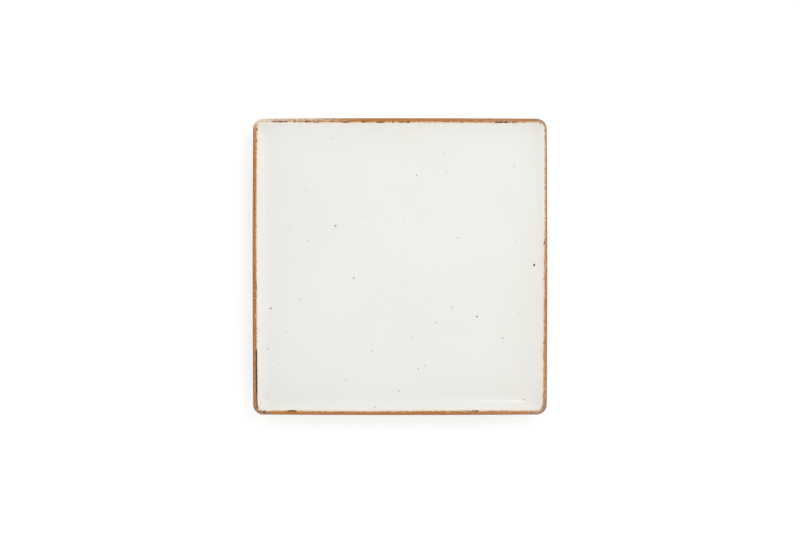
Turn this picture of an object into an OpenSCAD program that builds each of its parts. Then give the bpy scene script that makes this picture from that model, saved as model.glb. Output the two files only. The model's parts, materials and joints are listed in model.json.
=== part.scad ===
// Square stoneware plate with an upright rounded rim.
// One fired clay body carries four coats, which lie on it face to face:
// the glaze of the well, the brown band on the rim, the glaze outside and the glaze of the base.
// Millimetres, +Z up. The origin is the middle of the plate, on the surface that it stands on.

/* [Outline] */
// Width over the middle of the two upright sides
plate_w = 270; // [180:1:340]
// Depth over the middle of the other two sides
plate_d = 272; // [180:1:340]
// Radius of the rim's corners, seen from above
corner_r = 9.2; // [6:0.2:20]
// How far each side bows out between its corners
side_bow = 0.5; // [0:0.1:2]

/* [Wall and floor] */
// Height from the ground to the top of the lip
plate_h = 18; // [16:0.5:26]
// Thickness of the lip, which is fully rounded
lip_t = 4.8; // [3.8:0.1:5.8]
// Width of the curve between the lip and the flat floor
cove_w = 15; // [10:0.5:24]
// Thickness of the floor, with its coats
floor_t = 4.8; // [3.6:0.1:6.4]
// Radius of the flat floor's corners, seen from above
floor_corner_r = 14; // [8:0.5:30]

/* [Foot ring] */
// Height of the foot, below the underside of the plate
foot_h = 2.4; // [1.8:0.1:3.4]
// Flat strip of the underside between the outer wall and the foot
foot_gap = 2.4; // [1:0.1:8]
// Width of the foot where it leaves the underside
foot_w = 6; // [5:0.1:9]
// How far each side of the foot leans in on its way to the ground
foot_lean = 0.5; // [0.2:0.1:0.8]
// Size of the worn edge on each side of the foot's flat
foot_edge = 0.4; // [0.2:0.05:0.6]
// Radius of the recess's corners, inside the foot
recess_corner_r = 8; // [3:0.5:20]

/* [Coats] */
// Thickness of the glazes and of the brown band
coat_t = 0.4; // [0.2:0.05:0.6]
// Where the brown band stops on the lip's inner side, above the middle of its round
band_rise = 1.5; // [0.4:0.1:1.7]
// How far the brown band runs down the outer wall, below the middle of that round
band_drop = 2.6; // [1:0.1:5]
// Height of the foot's side that is left bare, above the ground
bare_h = 0.9; // [0.7:0.05:1.3]

/* [Smoothness] */
// Flat steps round each corner
corner_steps = 8; // [4:1:12]
// Flat steps along each side, an even number
side_steps = 6; // [2:2:12]
// Steps up to the top of the lip on its brown inner side, and again down its outer side
lip_steps = 4; // [2:1:6]
// Steps up the glazed part of the lip's round
shoulder_steps = 2; // [1:1:4]
// Steps down the brown part of the outer wall
band_steps = 2; // [1:1:4]
// Steps down the rest of the wall, inside and outside
wall_steps = 9; // [5:1:14]

/* [Hidden] */

// Half sizes at the corners, before the sides bow out
half_w = plate_w / 2 - side_bow;
half_d = plate_d / 2 - side_bow;

// The inner and the outer wall are quarter ellipses round one line, which lies
// level with the middle of the lip's round, above the edge of the flat floor
lip_r = lip_t / 2;
rim_z = plate_h - lip_r;
floor_z = foot_h + floor_t;
well_depth = rim_z - floor_z;
shell_depth = rim_z - foot_h;
heel_inset = lip_t + cove_w;

// Angles where the band stops, on the lip's round and on the outer wall's ellipse
band_in_turn = asin(band_rise / lip_r);
band_out_turn = asin(band_drop / shell_depth);

foot_inset = heel_inset + foot_gap;
recess_inset = foot_inset + foot_w;
bare_share = 1 - bare_h / foot_h;
edge_share = 1 - foot_edge / foot_h;

ring_count = 4 * (corner_steps + side_steps);

function mix(a, b, share) = a + (b - a) * share;

function reversed(list) = [for (i = [len(list) - 1 : -1 : 0]) list[i]];

// A station is a level line on the plate: [inset from the rim, height, corner radius].
// Each takes a cover, the thickness of coat that lies over it.

// Round of the lip, from 0 degrees on the inner side to 180 on the outer side
function lip_at(turn, cover) =
    let (inset = lip_r + (lip_r - cover) * cos(turn))
    [inset, rim_z + (lip_r - cover) * sin(turn), corner_r - inset];

// Inner wall, from 0 degrees at the lip to 90 at the flat floor
function inner_at(turn, cover) =
    [
        heel_inset - (cove_w + cover) * cos(turn),
        rim_z - (well_depth + cover) * sin(turn),
        mix(floor_corner_r, corner_r - lip_t + cover, cos(turn))
    ];

// Outer wall, from 0 degrees at the lip to 90 at the flat underside
function outer_at(turn, cover) =
    [
        heel_inset - (heel_inset - cover) * cos(turn),
        rim_z - (shell_depth - cover) * sin(turn),
        mix(floor_corner_r, corner_r - cover, cos(turn))
    ];

// Point of the foot's section at an inset, whose corner radius shrinks towards the recess
function foot_at(inset, height) =
    let (share = (inset - heel_inset) / (recess_inset - heel_inset))
    [inset, height, mix(floor_corner_r, recess_corner_r, share)];

// Sides of the foot, from 0 at the underside to 1 at the ground
function foot_outer_at(share, cover) =
    foot_at(foot_inset + cover + foot_lean * share, (foot_h + cover) * (1 - share));

function foot_inner_at(share, cover) =
    foot_at(recess_inset - cover - foot_lean * share, (foot_h + cover) * (1 - share));

// Runs of stations, each in the order floor, inner wall, lip, outer wall, foot
function well_run(cover) =
    concat(
        [for (i = [0 : wall_steps]) inner_at(mix(90, 0, i / wall_steps), cover)],
        [for (i = [1 : shoulder_steps]) lip_at(band_in_turn * i / shoulder_steps, cover)]
    );

function band_run(cover) =
    concat(
        [for (i = [0 : lip_steps - 1]) lip_at(mix(band_in_turn, 90, i / lip_steps), cover)],
        [for (i = [0 : lip_steps - 1]) lip_at(mix(90, 180, i / lip_steps), cover)],
        [for (i = [0 : band_steps]) outer_at(band_out_turn * i / band_steps, cover)]
    );

function outside_run(cover) =
    concat(
        [for (i = [0 : wall_steps]) outer_at(mix(band_out_turn, 90, i / wall_steps), cover)],
        [foot_outer_at(0, cover), foot_outer_at(bare_share, cover)]
    );

function base_run(cover) = [foot_inner_at(bare_share, cover), foot_inner_at(0, cover)];

// Bare clay of the foot, between the two glazes of the underside
function foot_run(cover) =
    let (side = foot_outer_at(edge_share, cover), far_side = foot_inner_at(edge_share, cover))
    [
        side,
        foot_at(side[0] + foot_edge, 0),
        foot_at(far_side[0] - foot_edge, 0),
        far_side
    ];

function without_first(list) = [for (i = [1 : len(list) - 1]) list[i]];

// The sides bow out most at their middle and not at all at the corners
function bowed(p, height) =
    [
        p[0] + side_bow * p[0] / half_w * (1 - pow(p[1] / half_d, 2)),
        p[1] + side_bow * p[1] / half_d * (1 - pow(p[0] / half_w, 2)),
        height
    ];

function corner_centre(quarter, a, b) =
    [(quarter == 0 || quarter == 3 ? a : -a), (quarter < 2 ? b : -b)];

function corner_point(quarter, share, a, b, r) =
    let (turn = 90 * (quarter + share))
    corner_centre(quarter, a, b) + r * [cos(turn), sin(turn)];

// Points of one station, anticlockwise from above: four round corners, four sides
function ring(station) =
    let (
        r = station[2],
        a = half_w - station[0] - r,
        b = half_d - station[0] - r
    )
    [
        for (quarter = [0 : 3])
        let (
            side_start = corner_point(quarter, 1, a, b, r),
            side_end = corner_point((quarter + 1) % 4, 0, a, b, r),
            corner = [for (i = [0 : corner_steps]) corner_point(quarter, i / corner_steps, a, b, r)],
            side = [for (i = [1 : side_steps - 1]) mix(side_start, side_end, i / side_steps)]
        )
        for (p = concat(corner, side)) bowed(p, station[1])
    ];

// True where the first of two stations lies nearer the rim. It picks the diagonal
// between them, so that a coat and the clay under it share the same triangles.
function is_nearer(p, q) = p[0] == q[0] ? p[1] > q[1] : p[0] < q[0];

// Triangles between ring m and ring n of a stack
function strip(m, n, nearer) =
    [
        for (i = [0 : ring_count - 1])
        let (
            next = (i + 1) % ring_count,
            a = m * ring_count + i,
            b = m * ring_count + next,
            c = n * ring_count + next,
            d = n * ring_count + i
        )
        each (nearer ? [[a, b, c], [a, c, d]] : [[a, b, d], [b, c, d]])
    ];

// Solid through a stack of stations. An open stack starts with a level top and
// ends with a level bottom; a closed one runs back to its start.
module loft(stations, closed) {
    last = len(stations) - 1;
    walls = [
        for (i = [0 : last - 1])
        each strip(i, i + 1, is_nearer(stations[i], stations[i + 1]))
    ];
    seam = closed ? strip(last, 0, is_nearer(stations[last], stations[0])) : [];
    top = [for (i = [ring_count - 1 : -1 : 0]) i];
    bottom = [for (i = [0 : ring_count - 1]) last * ring_count + i];
    ends = closed ? [] : [top, bottom];
    polyhedron(
        points = [for (s = stations) each ring(s)],
        faces = concat(walls, seam, ends),
        convexity = 6
    );
}

// Fired clay: floor, wall, lip and the foot ring that is part of it
module clay_body() {
    color("#d3b795")
        loft(
            concat(
                well_run(coat_t),
                without_first(band_run(coat_t)),
                without_first(outside_run(coat_t)),
                foot_run(coat_t),
                base_run(coat_t)
            ),
            closed = false
        );
}

// Speckled off-white glaze over the floor, up the inner wall to the lip's shoulder
module well_glaze() {
    color("#f1efe9")
        loft(concat(well_run(0), reversed(well_run(coat_t))), closed = false);
}

// Brown oxide band, over the lip from its inner shoulder to the outer wall
module rim_band() {
    color("#b07c4f")
        loft(concat(band_run(0), reversed(band_run(coat_t))), closed = true);
}

// Off-white glaze under the band, down the outer wall to the foot
module outside_glaze() {
    color("#ebe8e0")
        loft(concat(outside_run(0), reversed(outside_run(coat_t))), closed = true);
}

// Off-white glaze in the recess inside the foot
module base_glaze() {
    color("#e6e2d8")
        loft(concat(reversed(base_run(coat_t)), base_run(0)), closed = false);
}

clay_body();
well_glaze();
rim_band();
outside_glaze();
base_glaze();
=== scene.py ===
# %% [markdown]
# # A square stoneware plate, seen from straight above
# The real plate is one slab of clay, pressed to shape and fired. After that it only gets coats: a
# speckled off-white glaze in the well, outside and under the base, and a brush of brown iron oxide
# round the lip. The CAD model holds the clay and the four coats at their real sizes, and this script
# dresses them. It starts with that model as a fixed frame, and every size that it can be asked for
# comes from there.

# %% Load the fixed frame
import json
import math

import bpy
import numpy as np
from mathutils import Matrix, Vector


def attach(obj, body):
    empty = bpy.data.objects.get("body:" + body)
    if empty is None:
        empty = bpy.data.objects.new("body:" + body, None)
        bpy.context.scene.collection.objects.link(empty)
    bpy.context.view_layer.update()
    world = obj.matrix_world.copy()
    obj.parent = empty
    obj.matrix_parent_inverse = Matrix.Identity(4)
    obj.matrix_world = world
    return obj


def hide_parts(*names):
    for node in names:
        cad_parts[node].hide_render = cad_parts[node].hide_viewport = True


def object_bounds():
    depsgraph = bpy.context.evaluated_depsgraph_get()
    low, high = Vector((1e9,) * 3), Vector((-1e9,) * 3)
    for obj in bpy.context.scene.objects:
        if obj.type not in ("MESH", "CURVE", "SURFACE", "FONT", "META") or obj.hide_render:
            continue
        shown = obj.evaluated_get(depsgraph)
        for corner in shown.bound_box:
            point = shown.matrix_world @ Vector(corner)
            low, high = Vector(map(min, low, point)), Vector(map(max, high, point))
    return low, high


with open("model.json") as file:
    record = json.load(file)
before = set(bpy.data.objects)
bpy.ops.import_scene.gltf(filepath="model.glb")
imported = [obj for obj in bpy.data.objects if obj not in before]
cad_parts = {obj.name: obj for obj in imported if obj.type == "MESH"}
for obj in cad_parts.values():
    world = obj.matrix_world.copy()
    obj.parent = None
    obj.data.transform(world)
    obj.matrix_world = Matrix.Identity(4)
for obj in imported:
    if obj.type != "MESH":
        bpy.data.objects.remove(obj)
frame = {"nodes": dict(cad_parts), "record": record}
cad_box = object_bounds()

print("nodes:", sorted(frame["nodes"]), "box:", [tuple(corner) for corner in cad_box])

# %% [markdown]
# ## Sums on sockets
# A plate is a shape that can be written down as a formula, and so is most of what a kiln does to its
# glaze. Nodes can hold a formula, but a tree of Math nodes is hard to read and to write. A small
# class helps: a Field stands for one socket, and Python's own plus, minus, times and divide add the
# Math nodes. The same class serves geometry trees and materials, because both have these nodes.

# %% A class for node sums
class Field:
    """One socket of a node tree, on which Python's signs add Math nodes."""

    def __init__(self, tree, socket):
        self.tree = tree
        self.socket = socket

    def beside(self, name):
        """Another output of the node that this field comes from."""
        return Field(self.tree, self.socket.node.outputs[name])

    def math(self, operation, *others):
        """Adds one Math node that starts with this field."""
        node = self.tree.nodes.new("ShaderNodeMath")
        node.operation = operation
        for place, value in enumerate((self, *others)):
            feed(node.inputs[place], value)
        return Field(self.tree, node.outputs[0])

    def __add__(self, other):
        return self.math("ADD", other)

    def __sub__(self, other):
        return self.math("SUBTRACT", other)

    def __mul__(self, other):
        return self.math("MULTIPLY", other)

    def __truediv__(self, other):
        return self.math("DIVIDE", other)

    def __rsub__(self, other):
        return self * -1 + other

    def __rtruediv__(self, other):
        return self.math("POWER", -1.0) * other

    __radd__ = __add__
    __rmul__ = __mul__


def feed(socket, value):
    """Links a field to a node's input, or writes a plain value on it."""
    if isinstance(value, Field):
        value.tree.links.new(value.socket, socket)
    else:
        socket.default_value = value


def socket_in_use(sockets, name):
    """The socket of that name that the node's settings leave in use, or the first one."""
    return next(s for s in sockets if s.enabled and name in (None, s.name))


def add(tree, kind, feeds=None, out=None, **settings):
    """Adds a node, feeds its inputs by name, and gives one of its outputs as a field."""
    node = tree.nodes.new(kind)
    for name, value in settings.items():
        setattr(node, name, value)
    for name, value in (feeds or {}).items():
        feed(socket_in_use(node.inputs, name), value)
    return Field(tree, socket_in_use(node.outputs, out))


# %% [markdown]
# A few more words are used all over: a vector is taken apart or put together, a number turns into a
# smooth step between two limits, and one colour is laid over another by a share. A node group comes
# from a formula, which gets the group's inputs as fields and gives back its result. The inputs are a
# plain dictionary, in which each one has its first value or its socket's type.

# %% Words for vectors, steps, colours and groups
def split(vector):
    """The three numbers of a vector field."""
    node = vector.tree.nodes.new("ShaderNodeSeparateXYZ")
    feed(node.inputs[0], vector)
    return [Field(vector.tree, socket) for socket in node.outputs]


def joined(x, y, z):
    """A vector field made of three numbers, of which at least one is a field."""
    tree = next(number.tree for number in (x, y, z) if isinstance(number, Field))
    return add(tree, "ShaderNodeCombineXYZ", {"X": x, "Y": y, "Z": z})


def step(value, low, high):
    """0 at low, 1 at high and a smooth rise between them. Low may be the larger one."""
    feeds = {"Value": value, "From Min": low, "From Max": high}
    return add(value.tree, "ShaderNodeMapRange", feeds, interpolation_type="SMOOTHSTEP")


def laid_over(base, colour, share):
    """One colour laid over another, by a share from 0 to 1."""
    feeds = {"Factor": share, "A": base, "B": colour}
    return add(share.tree, "ShaderNodeMix", feeds, data_type="RGBA")


def at_least(least, share):
    """A share from 0 to 1, squeezed so that it starts at the least value."""
    return least + share * (1 - least)


def with_spaces(settings):
    """Python's keyword names as sockets have them, with spaces."""
    return {label.replace("_", " "): value for label, value in settings.items()}


SOCKET_TYPES = {float: "NodeSocketFloat", int: "NodeSocketInt"}


def node_group(kind, name, formula, inputs, result, result_type):
    """A node group whose one result comes from a formula of its inputs."""
    tree = bpy.data.node_groups.new(name, kind)
    for label, value in inputs.items():
        is_type = isinstance(value, str)
        socket_type = value if is_type else SOCKET_TYPES[type(value)]
        made = tree.interface.new_socket(label, in_out="INPUT", socket_type=socket_type)
        if not is_type:
            made.default_value = value
    tree.interface.new_socket(result, in_out="OUTPUT", socket_type=result_type)
    start = tree.nodes.new("NodeGroupInput")
    value = formula({s.name: Field(tree, s) for s in start.outputs if s.name})
    end = tree.nodes.new("NodeGroupOutput")
    feed(end.inputs[result], value)
    print(name, "has", len(tree.nodes), "nodes")
    return tree


# %% [markdown]
# ## The plate's sizes
# The width, depth, height and the height of the well's floor are read from the frame. The rest of
# the section is written here once, with the values that the CAD model has: the round lip, the wide
# curve down to the floor, the outer wall that tucks in to the heel, and the foot ring.

# %% Sizes of the section
MM = 0.001

plate_low, plate_high = cad_box
plate_w, plate_d, plate_h = plate_high - plate_low
mount_height = {m["name"]: m["pos_m"][2] for m in frame["record"]["mounts"]}

side_bow = 0.5 * MM
half_w = plate_w / 2 - side_bow
half_d = plate_d / 2 - side_bow
corner_r = 9.2 * MM
floor_corner_r = 14 * MM

coat_t = 0.4 * MM
lip_r = 2.4 * MM
cove_w = 15 * MM
foot_h = 2.4 * MM
rim_z = plate_h - lip_r
floor_z = mount_height["well_floor"]
well_depth = rim_z - floor_z
shell_depth = rim_z - foot_h
heel_inset = 2 * lip_r + cove_w

foot_gap = 2.4 * MM
foot_w = 6 * MM
foot_lean = 0.5 * MM
foot_edge = 0.4 * MM
bare_h = 0.9 * MM
foot_inset = heel_inset + foot_gap
recess_inset = foot_inset + foot_w
recess_corner_r = 8 * MM
bare_share = 1 - bare_h / foot_h
edge_share = 1 - foot_edge / foot_h

band_rise = 1.5 * MM
band_drop = 2.6 * MM
band_in_turn = math.asin(band_rise / lip_r)
band_out_turn = math.asin(band_drop / shell_depth)

print(f"plate {plate_w:.4f} x {plate_d:.4f} x {plate_h:.4f} m, well {well_depth:.4f} m deep")

# %% [markdown]
# ## The section
# Cut through the wall, the plate is a short list of curves: a flat floor, a quarter of an ellipse up
# to the lip, half a circle over it, a quarter of a larger ellipse down to the heel, and the foot.
# Each point of it is an inset from the rim, the corner radius that a level line has there, and a
# height. The coats' surface and the clay's surface are the same curves a coat's thickness apart, so
# one function gives both.

# %% Curves of the section
def lip_at(turn, cover):
    """Round of the lip, from 0 on the inner side to pi on the outer side."""
    inset = lip_r + (lip_r - cover) * math.cos(turn)
    return inset, corner_r - inset, rim_z + (lip_r - cover) * math.sin(turn)


def inner_at(turn, cover):
    """Inner wall, from 0 at the lip to a quarter turn at the floor."""
    inset = heel_inset - (cove_w + cover) * math.cos(turn)
    lip_corner_r = corner_r - 2 * lip_r + cover
    corner = floor_corner_r + (lip_corner_r - floor_corner_r) * math.cos(turn)
    return inset, corner, rim_z - (well_depth + cover) * math.sin(turn)


def outer_at(turn, cover):
    """Outer wall, from 0 at the lip to a quarter turn at the flat underside."""
    inset = heel_inset - (heel_inset - cover) * math.cos(turn)
    corner = floor_corner_r + (corner_r - cover - floor_corner_r) * math.cos(turn)
    return inset, corner, rim_z - (shell_depth - cover) * math.sin(turn)


def foot_at(inset, height):
    """A point of the foot, whose corners tighten towards the recess."""
    share = (inset - heel_inset) / (recess_inset - heel_inset)
    return inset, floor_corner_r + (recess_corner_r - floor_corner_r) * share, height


def foot_outer_at(share, cover):
    """Outer side of the foot, from 0 at the underside to 1 at the ground."""
    return foot_at(foot_inset + cover + foot_lean * share, (foot_h + cover) * (1 - share))


def foot_inner_at(share, cover):
    """Inner side of the foot, from 0 at the underside to 1 at the ground."""
    return foot_at(recess_inset - cover - foot_lean * share, (foot_h + cover) * (1 - share))


def foot_flat_at(side, towards):
    """Where the foot's worn edge meets its flat, on the ground."""
    return foot_at(side(edge_share, coat_t)[0] + towards * foot_edge, 0.0)


# %% [markdown]
# The curves are now walked from the middle of the well, over the lip, under the plate to the middle
# of its base. A run of the walk ends at a mark, such as the seam between glaze and brown band, and
# the distance walked up to a mark says where it is. Over the two flat middles the level lines don't
# move in, they shrink, so each point also has a share by which its level line is scaled.

# %% Walk the section
def run(curve, start, end, steps, shrink=(1.0, 1.0)):
    """Points of one curve: (point on the coat, point on the clay, shrink) for each step."""
    shares = [i / steps for i in range(steps + 1)]
    turns = [start + (end - start) * share for share in shares]
    shrinks = [shrink[0] + (shrink[1] - shrink[0]) * share for share in shares]
    return [(curve(t, 0.0), curve(t, coat_t), s) for t, s in zip(turns, shrinks)]


def bare(curve, start, end, steps):
    """The same for bare clay, where the surface is the clay's own."""
    return [(clay, clay, shrink) for _, clay, shrink in run(curve, start, end, steps)]


QUARTER = math.pi / 2
CURVE_STEPS = 48
SEAM_STEPS = 12
flat_out = foot_flat_at(foot_outer_at, 1)
flat_in = foot_flat_at(foot_inner_at, -1)
WALK = {
    "floor_edge": run(inner_at, QUARTER, QUARTER, 2, (0.0, 1.0)),
    "cove_top": run(inner_at, QUARTER, 0.0, CURVE_STEPS),
    "seam_in": run(lip_at, 0.0, band_in_turn, SEAM_STEPS),
    "lip_out": run(lip_at, band_in_turn, math.pi, CURVE_STEPS),
    "seam_out": run(outer_at, 0.0, band_out_turn, SEAM_STEPS),
    "heel": run(outer_at, band_out_turn, QUARTER, CURVE_STEPS),
    "foot_top_out": run(foot_outer_at, 0.0, 0.0, 1),
    "bare_out": run(foot_outer_at, 0.0, bare_share, 6),
    "flat_out": bare(foot_outer_at, bare_share, edge_share, 3) + [(flat_out, flat_out, 1.0)],
    "flat_in": [(flat_in, flat_in, 1.0)],
    "bare_in": bare(foot_inner_at, edge_share, bare_share, 3),
    "foot_top_in": run(foot_inner_at, bare_share, 0.0, 6),
    "base_centre": run(foot_inner_at, 0.0, 0.0, 2, (1.0, 0.0)),
}

walked = [point for points in WALK.values() for point in points]
skin = np.array([p[0] for p in walked])
clay = np.array([p[1] for p in walked])
shrink = np.array([p[2] for p in walked])

path = skin[:, [0, 2]].copy()
path[:, 0] += (1 - shrink) * (half_w - path[:, 0])
steps_walked = np.hypot(*np.diff(path, axis=0).T)
travel = np.concatenate([[0.0], np.cumsum(steps_walked)])

last_of_run = np.cumsum([len(points) for points in WALK.values()]) - 1
MARK = {name: travel[i] for name, i in zip(WALK, last_of_run)}
MARK["well_centre"] = 0.0
print("marks, in mm:", {name: round(at / MM, 2) for name, at in MARK.items()})

# %% [markdown]
# The tree that will sweep this section needs it as geometry. A mesh of points and edges can carry
# the lists as named attributes, and in the tree it becomes a curve that can be sampled at any
# distance. It is a helper, which is removed when the last coat is made.

# %% Turn the section into geometry
SAME_PLACE = 0.0001 * MM


def in_scene(name, data):
    """A new object that holds the data, put in the scene."""
    made = bpy.data.objects.new(name, data)
    bpy.context.scene.collection.objects.link(made)
    return made


def point_mesh(name, points, edges, **attributes):
    """A mesh of bare points with named attributes, numbers or vectors."""
    mesh = bpy.data.meshes.new(name)
    mesh.from_pydata([tuple(p) for p in points], edges, [])
    for label, values in attributes.items():
        values = np.asarray(values, np.float32)
        is_vector = values.ndim == 2
        made = mesh.attributes.new(label, "FLOAT_VECTOR" if is_vector else "FLOAT", "POINT")
        made.data.foreach_set("vector" if is_vector else "value", values.ravel())
    return mesh


keep = np.concatenate([[True], steps_walked > SAME_PLACE])
section_points = np.column_stack([path[keep, 0], np.zeros(keep.sum()), path[keep, 1]])
section_edges = [(i, i + 1) for i in range(len(section_points) - 1)]
section_mesh = point_mesh(
    "section", section_points, section_edges,
    skin=skin[keep], clay=clay[keep], shrink=shrink[keep],
)
section = in_scene("section", section_mesh)
print(f"the section has {len(section_points)} points over {travel[-1] / MM:.1f} mm")

# %% [markdown]
# ## The outline
# From above, every level line of the plate is a square with round corners, whose sides bow out a
# little. One small group turns a column's number into its place on such a line. Four quarters each
# hold one corner and one side: the angle turns only along the corner, and the corner's centre slides
# only along the side, so that one sum serves both.

# %% Geometry group: rounded square
OUTLINE_INPUTS = {
    "Half width": half_w,
    "Half depth": half_d,
    "Side bow": side_bow,
    "Corner columns": 20,
    "Side columns": 330,
}


def sign_of(quarter, turn, function):
    """Which way a quarter's corner lies along one axis: -1 or 1."""
    return ((quarter + turn) * QUARTER).math(function).math("SIGN")


def bowed_square(given):
    """Column, inset and corner radius to a place on a bowed square."""
    corner_columns = given["Corner columns"]
    per_quarter = corner_columns + given["Side columns"]
    quarter = (given["Column"] / per_quarter).math("FLOOR")
    place = given["Column"] - quarter * per_quarter
    corner_turn = (place / corner_columns).math("MINIMUM", 1.0)
    side_share = (place - corner_columns).math("MAXIMUM", 0.0) / given["Side columns"]
    angle = (quarter + corner_turn) * QUARTER
    radius = given["Corner radius"]

    flat = []
    for size, function in (("Half width", "COSINE"), ("Half depth", "SINE")):
        here = sign_of(quarter, 0.5, function)
        there = sign_of(quarter, 1.5, function)
        reach = given[size] - given["Inset"] - radius
        centre = reach * (here + (there - here) * side_share)
        flat.append(centre + radius * angle.math(function))

    x, y = flat
    x_share = x / given["Half width"]
    y_share = y / given["Half depth"]
    bow = given["Side bow"]
    bowed_x = x + bow * x_share * (1 - y_share * y_share)
    bowed_y = y + bow * y_share * (1 - x_share * x_share)
    return joined(bowed_x, bowed_y, 0.0)


outline_group = node_group(
    "GeometryNodeTree", "Rounded square", bowed_square,
    {"Column": 0.0, "Inset": 0.0, "Corner radius": corner_r, **OUTLINE_INPUTS},
    "Place", "NodeSocketVector",
)

# %% [markdown]
# ## One tree for every coat
# Each coat is the same thing: rows that follow the section, swept round the outline, out over its
# skin and back along the clay. So one tree makes them all. A seam between two coats isn't a ruled
# line, because a brush laid it. Noise moves the end rows in and out, and as both coats of a seam use
# the same seed, they still meet.

# %% Inputs and helpers of the coat's tree
COAT_INPUTS = {
    "Rows": "NodeSocketGeometry",
    "Section": "NodeSocketObject",
    "Finish": "NodeSocketMaterial",
    **OUTLINE_INPUTS,
    "Wander": 0.45 * MM,
    "Wander size": 9 * MM,
    "Fray": 0.3 * MM,
    "Fray size": 1.7 * MM,
    "First seed": 0.0,
    "Last seed": 0.0,
    "Unevenness": 0.008,
    "Uneven size": 90 * MM,
}
WELD_DISTANCE = 0.001 * MM


def noise_at(place, size, detail=2.0):
    """Soft noise from 0 to 1, whose blotches are about as wide as the size."""
    feeds = {"Vector": place, "Scale": 1.0 / size, "Detail": detail}
    return add(place.tree, "ShaderNodeTexNoise", feeds, out="Fac")


def number(tree, name, data_type="FLOAT"):
    """A named attribute, as the tree's geometry has it."""
    return add(tree, "GeometryNodeInputNamedAttribute", {"Name": name}, data_type=data_type)


def wander_at(given, place, seed):
    """How far a seam strays from its line at a place of the outline, along the section."""
    x, y, _ = split(place)
    here = joined(x, y, seed)
    wide = noise_at(here, given["Wander size"]) * 2 - 1
    fine = noise_at(here, given["Fray size"]) * 2 - 1
    return wide * given["Wander"] + fine * given["Fray"]


def growing_tree(name, formula, inputs, result):
    """A geometry tree that a modifier can run."""
    kind = "GeometryNodeTree"
    tree = node_group(kind, name, formula, inputs, result, "NodeSocketGeometry")
    tree.is_modifier = True
    return tree


def finished(geometry, finish):
    """The end of a tree: real geometry, shaded round, in its finish."""
    tree = geometry.tree
    real = add(tree, "GeometryNodeRealizeInstances", {"Geometry": geometry})
    shaded = add(tree, "GeometryNodeSetShadeSmooth", {"Geometry": real})
    return add(tree, "GeometryNodeSetMaterial", {"Geometry": shaded, "Material": finish})


# %% [markdown]
# The tree lays down a grid of columns and rows. For each point it asks the row for its distance along
# the section, asks the section what lies there, on the skin and on the clay, and asks the outline
# where that level line runs. The last and the first column lie in one place and are welded.

# %% Geometry tree: swept coat
def swept_coat(given):
    """Rows and a section to one closed coat of the plate."""
    rows = given["Rows"]
    tree = rows.tree
    section_mesh = add(tree, "GeometryNodeObjectInfo", {"Object": given["Section"]}, "Geometry")
    curve = add(tree, "GeometryNodeMeshToCurve", {"Mesh": section_mesh})

    row_count = add(tree, "GeometryNodeAttributeDomainSize", {"Geometry": rows}, "Point Count")
    columns = (given["Corner columns"] + given["Side columns"]) * 4
    counts = {"Vertices X": columns + 1, "Vertices Y": row_count}
    grid = add(tree, "GeometryNodeMeshGrid", counts, "Mesh")
    index = add(tree, "GeometryNodeInputIndex")
    column = (index / row_count).math("FLOOR")
    row = index - column * row_count

    def of_row(name):
        feeds = {"Geometry": rows, "Value": number(tree, name), "Index": row}
        return add(tree, "GeometryNodeSampleIndex", feeds)

    def on_outline(inset, radius):
        feeds = {"Column": column, "Inset": inset, "Corner radius": radius}
        feeds.update({name: given[name] for name in OUTLINE_INPUTS})
        return add(tree, "GeometryNodeGroup", feeds, node_tree=outline_group)

    rim = on_outline(0.0, corner_r)
    first_stray = wander_at(given, rim, given["First seed"]) * of_row("first_share")
    last_stray = wander_at(given, rim, given["Last seed"]) * of_row("last_share")
    along = of_row("travel") + first_stray + last_stray

    def of_section(name, data_type):
        value = number(tree, name, data_type)
        feeds = {"Curves": curve, "Value": value, "Length": along}
        return add(tree, "GeometryNodeSampleCurve", feeds, mode="LENGTH", data_type=data_type)

    clay_point = of_section("clay", "FLOAT_VECTOR")
    skin_point = of_section("skin", "FLOAT_VECTOR")
    cover = of_row("cover")
    feeds = {"Factor": cover, "A": clay_point, "B": skin_point}
    point = add(tree, "ShaderNodeMix", feeds, data_type="VECTOR")
    inset, radius, height = split(point)
    level_x, level_y, _ = split(on_outline(inset, radius))
    shrink_here = of_section("shrink", "FLOAT")
    x = level_x * shrink_here
    y = level_y * shrink_here
    dip = noise_at(joined(x, y, 0.0), given["Uneven size"]) * given["Unevenness"]

    kept = {"travel": along, "from_edge": of_row("from_edge"), "cover": cover}
    for name, value in kept.items():
        feeds = {"Geometry": grid, "Name": name, "Value": value}
        grid = add(tree, "GeometryNodeStoreNamedAttribute", feeds)
    place = joined(x, y, height * (1 - dip))
    swept = add(tree, "GeometryNodeSetPosition", {"Geometry": grid, "Position": place})
    outwards = add(tree, "GeometryNodeFlipFaces", {"Mesh": swept})
    feeds = {"Geometry": outwards, "Distance": WELD_DISTANCE}
    welded = add(tree, "GeometryNodeMergeByDistance", feeds)
    return finished(welded, given["Finish"])


coat_tree = growing_tree("Swept coat", swept_coat, COAT_INPUTS, "Coat")

# %% [markdown]
# ## Rows of the coats
# Rows lie close together where a coat rolls off at its edge or turns a tight curve, and far apart
# over the flat floor. Near a seam a coat is thinner, as a brushed or wiped edge is, so that two
# coats meet in a shallow groove. A row also says how much of its seam's wander it takes: all of it at
# the seam, and none a few millimetres away, where the curve of the plate alone should show.

# %% Rows from distances
REACH = 4 * MM
ROLL = 0.9 * MM
SEAM_SHARE = 0.72
BARE_SHARE = 0.35
FAR_AWAY = 1.0


def smooth(share):
    """0 below 0, 1 above 1, and a soft S between."""
    share = np.clip(share, 0.0, 1.0)
    return share * share * (3 - 2 * share)


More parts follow.
